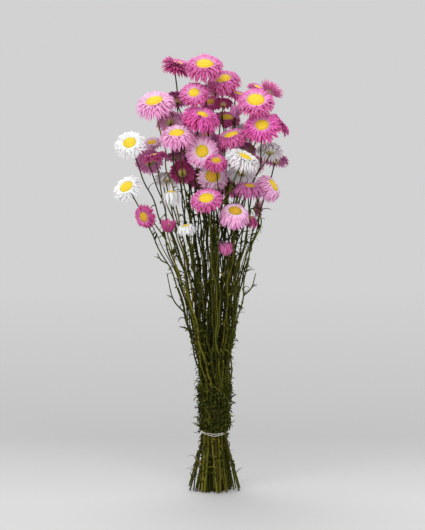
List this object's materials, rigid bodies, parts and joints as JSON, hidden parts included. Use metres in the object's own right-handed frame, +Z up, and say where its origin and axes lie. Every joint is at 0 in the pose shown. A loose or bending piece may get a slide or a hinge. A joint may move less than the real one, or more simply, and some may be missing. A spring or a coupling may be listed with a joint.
{
  "type": "bunch of dried everlasting daisies",
  "caption": "Tied bunch of dried everlasting daisies in pinks and white, standing on its splayed cut stems.",
  "frame": {"origin": "middle of the foot on the floor, at the cut end of the central stem", "axes": "+Z up along the bunch, -Y towards the side that shows most open blooms, +X to its right"},
  "size_m": [0.2003, 0.1237, 0.4967],
  "materials": {
    "petals_deep_pink": "matte",
    "petals_hot_pink": "matte",
    "petals_mid_pink": "matte",
    "petals_light_pink": "matte",
    "petals_pale_pink": "matte",
    "petals_magenta": "matte",
    "petals_deep_magenta": "matte",
    "petals_mauve": "matte",
    "petals_white": "matte",
    "disc_florets": "matte",
    "dried_stems": "matte",
    "string": "matte"
  },
  "bodies": {
    "root": {"bloom_01_deep_pink": "petals_deep_pink", "bloom_02_mid_pink": "petals_mid_pink", "bloom_03_mid_pink": "petals_mid_pink", "bloom_04_magenta": "petals_magenta", "bloom_05_mid_pink": "petals_mid_pink", "bloom_06_light_pink": "petals_light_pink", "bloom_07_mauve": "petals_mauve", "bloom_08_hot_pink": "petals_hot_pink", "bloom_09_mid_pink": "petals_mid_pink", "bloom_10_mid_pink": "petals_mid_pink", "bloom_11_hot_pink": "petals_hot_pink", "bloom_12_hot_pink": "petals_hot_pink", "bloom_13_white": "petals_white", "bloom_14_light_pink": "petals_light_pink", "bloom_15_light_pink": "petals_light_pink", "bloom_16_mid_pink": "petals_mid_pink", "bloom_17_white": "petals_white", "bloom_18_magenta": "petals_magenta", "bloom_19_pale_pink": "petals_pale_pink", "bloom_20_mid_pink": "petals_mid_pink", "bloom_21_white": "petals_white", "bloom_22_mauve": "petals_mauve", "bloom_23_light_pink": "petals_light_pink", "bloom_24_light_pink": "petals_light_pink", "bloom_25_magenta": "petals_magenta", "bloom_26_mauve": "petals_mauve", "bloom_27_mid_pink": "petals_mid_pink", "bloom_28_magenta": "petals_magenta", "bloom_29_magenta": "petals_magenta", "bloom_30_white": "petals_white", "bloom_31_white": "petals_white", "bloom_32_magenta": "petals_magenta", "bloom_33_white": "petals_white", "bloom_34_pale_pink": "petals_pale_pink", "bloom_35_white": "petals_white", "bloom_36_deep_magenta": "petals_deep_magenta", "bloom_37_white": "petals_white", "bloom_38_mauve": "petals_mauve", "bloom_39_mauve": "petals_mauve", "bloom_40_mauve": "petals_mauve", "bloom_41_light_pink": "petals_light_pink", "bloom_42_mid_pink": "petals_mid_pink", "bloom_43_mauve": "petals_mauve", "bloom_44_mid_pink": "petals_mid_pink", "bloom_45_magenta": "petals_magenta", "bloom_46_magenta": "petals_magenta", "bloom_47_deep_magenta": "petals_deep_magenta", "bloom_48_mauve": "petals_mauve", "bloom_49_mauve": "petals_mauve", "bloom_50_light_pink": "petals_light_pink", "bloom_51_white": "petals_white", "bloom_52_mid_pink": "petals_mid_pink", "bloom_53_hot_pink": "petals_hot_pink", "bloom_54_light_pink": "petals_light_pink", "bloom_55_magenta": "petals_magenta", "bloom_56_mid_pink": "petals_mid_pink", "bloom_57_light_pink": "petals_light_pink", "stems": "dried_stems", "tie_string": "string"}
  },
  "joints": []
}
